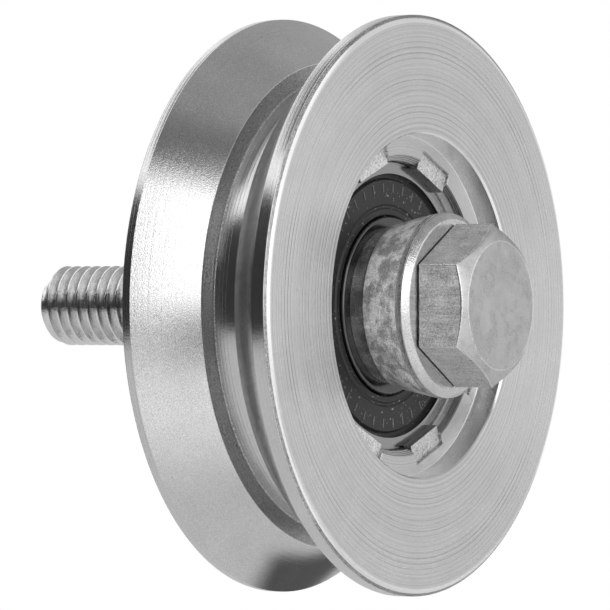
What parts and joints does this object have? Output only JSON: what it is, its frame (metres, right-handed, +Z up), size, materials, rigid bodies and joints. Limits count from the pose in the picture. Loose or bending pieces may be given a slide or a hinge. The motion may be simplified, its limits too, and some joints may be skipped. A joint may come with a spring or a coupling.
{
  "type": "v groove wheel",
  "caption": "V grooved steel track wheel on a sealed ball bearing staked into its recess, with spacer bushes and a hexagon head bolt.",
  "frame": {"origin": "centre of the wheel, on its axis and midway between its two faces", "axes": "+Y along the axis of rotation, from the bolt head towards the thread; +Z up, towards a corner of the hexagon"},
  "size_m": [0.07, 0.0645, 0.07],
  "materials": {
    "wheel": "turned, bright zinc plated",
    "bearing_steel": "ground",
    "seal_rubber": "satin moulded rubber",
    "sheet_steel": "pressed sheet",
    "ball_steel": "polished",
    "bush_steel": "turned, blotchy plating",
    "bolt_steel": "satin zinc plated"
  },
  "bodies": {
    "axle": {"bolt": "bolt_steel", "front_bush": "bush_steel", "rear_bush": "bush_steel", "inner_ring": "bearing_steel"},
    "rolling_wheel": {"wheel": "wheel", "outer_ring": "bearing_steel", "front_seal": "seal_rubber", "front_seal_insert": "sheet_steel", "rear_seal": "seal_rubber", "rear_seal_insert": "sheet_steel"},
    "ball_cage": {"cage_front": "sheet_steel", "cage_rear": "sheet_steel", "cage_rivets": "sheet_steel"},
    "ball_1_body": {"ball_1": "ball_steel"},
    "ball_2_body": {"ball_2": "ball_steel"},
    "ball_3_body": {"ball_3": "ball_steel"},
    "ball_4_body": {"ball_4": "ball_steel"},
    "ball_5_body": {"ball_5": "ball_steel"},
    "ball_6_body": {"ball_6": "ball_steel"},
    "ball_7_body": {"ball_7": "ball_steel"},
    "ball_8_body": {"ball_8": "ball_steel"}
  },
  "joints": [
    {"name": "wheel_spin", "type": "hinge", "parent": "axle", "child": "rolling_wheel", "pos_m": [0, 0, 0], "axis": [0, 1, 0], "continuous": true},
    {"name": "cage_spin", "type": "hinge", "parent": "axle", "child": "ball_cage", "pos_m": [0, 0, 0], "axis": [0, 1, 0], "continuous": true},
    {"name": "ball_1_spin", "type": "hinge", "parent": "ball_cage", "child": "ball_1_body", "pos_m": [0.00478, 0, 0.01155], "axis": [0, 1, 0], "continuous": true},
    {"name": "ball_2_spin", "type": "hinge", "parent": "ball_cage", "child": "ball_2_body", "pos_m": [0.01155, 0, 0.00478], "axis": [0, 1, 0], "continuous": true},
    {"name": "ball_3_spin", "type": "hinge", "parent": "ball_cage", "child": "ball_3_body", "pos_m": [0.01155, 0, -0.00478], "axis": [0, 1, 0], "continuous": true},
    {"name": "ball_4_spin", "type": "hinge", "parent": "ball_cage", "child": "ball_4_body", "pos_m": [0.00478, 0, -0.01155], "axis": [0, 1, 0], "continuous": true},
    {"name": "ball_5_spin", "type": "hinge", "parent": "ball_cage", "child": "ball_5_body", "pos_m": [-0.00478, 0, -0.01155], "axis": [0, 1, 0], "continuous": true},
    {"name": "ball_6_spin", "type": "hinge", "parent": "ball_cage", "child": "ball_6_body", "pos_m": [-0.01155, 0, -0.00478], "axis": [0, 1, 0], "continuous": true},
    {"name": "ball_7_spin", "type": "hinge", "parent": "ball_cage", "child": "ball_7_body", "pos_m": [-0.01155, 0, 0.00478], "axis": [0, 1, 0], "continuous": true},
    {"name": "ball_8_spin", "type": "hinge", "parent": "ball_cage", "child": "ball_8_body", "pos_m": [-0.00478, 0, 0.01155], "axis": [0, 1, 0], "continuous": true}
  ],
  "couplings": [
    {"joint": "cage_spin", "follows": "wheel_spin", "ratio": 0.61906},
    {"joint": "ball_1_spin", "follows": "wheel_spin", "ratio": 1.9807},
    {"joint": "ball_2_spin", "follows": "wheel_spin", "ratio": 1.9807},
    {"joint": "ball_3_spin", "follows": "wheel_spin", "ratio": 1.9807},
    {"joint": "ball_4_spin", "follows": "wheel_spin", "ratio": 1.9807},
    {"joint": "ball_5_spin", "follows": "wheel_spin", "ratio": 1.9807},
    {"joint": "ball_6_spin", "follows": "wheel_spin", "ratio": 1.9807},
    {"joint": "ball_7_spin", "follows": "wheel_spin", "ratio": 1.9807},
    {"joint": "ball_8_spin", "follows": "wheel_spin", "ratio": 1.9807}
  ]
}
